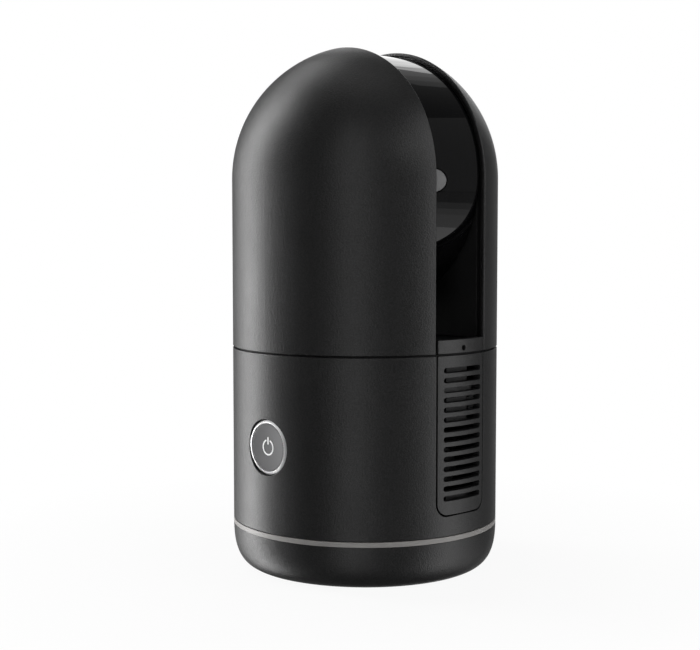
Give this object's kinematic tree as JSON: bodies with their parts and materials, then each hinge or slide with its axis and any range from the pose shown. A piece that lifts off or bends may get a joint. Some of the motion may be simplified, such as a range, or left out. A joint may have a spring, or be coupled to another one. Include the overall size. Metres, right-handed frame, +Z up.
{
  "type": "terrestrial laser scanner",
  "caption": "Compact domed laser scanner: a louvred base with a power button and light ring carries a turning slotted head in which a mirror drum spins.",
  "frame": {"origin": "centre of the underside, on the turning axis, at the height of the foot pads", "axes": "+Z up along the turning axis; -Y is the front of the slot and of the louvred panel; -X is the side with the power button"},
  "size_m": [0.08, 0.08, 0.1552],
  "materials": {
    "body_black": "fine-grained satin black",
    "gloss_black": "polished black",
    "inner_black": "dull black",
    "light_band": "frosted pale grey light guide",
    "silver": "bright turned metal",
    "button_grey": "satin dark grey with a pale printed power sign",
    "rubber": "dull black rubber",
    "steel": "machined",
    "aluminium": "machined",
    "winding": "enamelled copper winding",
    "circuit_board": "green solder mask",
    "battery_case": "moulded dark grey",
    "window_glass": "coated grey glass",
    "mirror": "front-surface mirror"
  },
  "bodies": {
    "base": {"foot_ring": "rubber", "bottom_cap": "body_black", "tripod_socket": "steel", "cap_screw_1": "steel", "cap_screw_2": "steel", "cap_screw_3": "steel", "cap_screw_4": "steel", "light_ring": "light_band", "led_board": "circuit_board", "lower_housing": "body_black", "vent_panel_front": "body_black", "vent_panel_rear": "body_black", "button_bezel": "silver", "button_board": "circuit_board", "battery_tray": "inner_black", "battery": "battery_case", "contact_block": "inner_black", "door_hinge_pin": "steel", "main_board": "circuit_board", "heat_sink": "aluminium", "fan_frame": "inner_black", "base_deck": "aluminium", "azimuth_bearing_outer": "steel", "azimuth_stator": "winding", "azimuth_reader": "inner_black", "slip_ring_brushes": "inner_black"},
    "head": {"turntable": "inner_black", "left_shell": "body_black", "right_shell": "body_black", "front_lip": "body_black", "rear_lip": "body_black", "left_wall": "inner_black", "right_wall": "inner_black", "laser_module": "aluminium", "laser_board": "circuit_board", "lens_barrel": "aluminium", "receiver_lens": "window_glass", "head_board": "circuit_board", "spindle_bearing": "steel", "spin_motor_stator": "winding", "azimuth_bearing_inner": "steel", "azimuth_rotor": "steel", "azimuth_shaft": "steel", "azimuth_code_disc": "window_glass", "slip_ring": "winding"},
    "drum": {"drum_shell": "gloss_black", "drum_window": "window_glass", "drum_cover": "gloss_black", "scan_mirror": "mirror", "mirror_spindle": "steel", "spin_motor_rotor": "steel", "spin_code_disc": "window_glass"},
    "fan": {"fan_rotor": "inner_black"},
    "button": {"power_button": "button_grey"},
    "door": {"battery_door": "body_black"}
  },
  "joints": [
    {"name": "head_turn", "type": "hinge", "parent": "base", "child": "head", "pos_m": [0, 0, 0.0669], "axis": [0, 0, 1], "continuous": true},
    {"name": "drum_spin", "type": "hinge", "parent": "head", "child": "drum", "pos_m": [0, 0, 0.1166], "axis": [1, 0, 0], "continuous": true},
    {"name": "fan_spin", "type": "hinge", "parent": "base", "child": "fan", "pos_m": [0, -0.02801, 0.0328], "axis": [0, 1, 0], "continuous": true},
    {"name": "button_press", "type": "slide", "parent": "base", "child": "button", "axis": [1, 0, 0], "range_m": [0, 0.0006], "stiffness_N_per_m": 3000},
    {"name": "door_swing", "type": "hinge", "parent": "base", "child": "door", "pos_m": [0.03534, 0.01625, 0.02718], "axis": [0, 0, 1], "range_deg": [0, 85]}
  ]
}
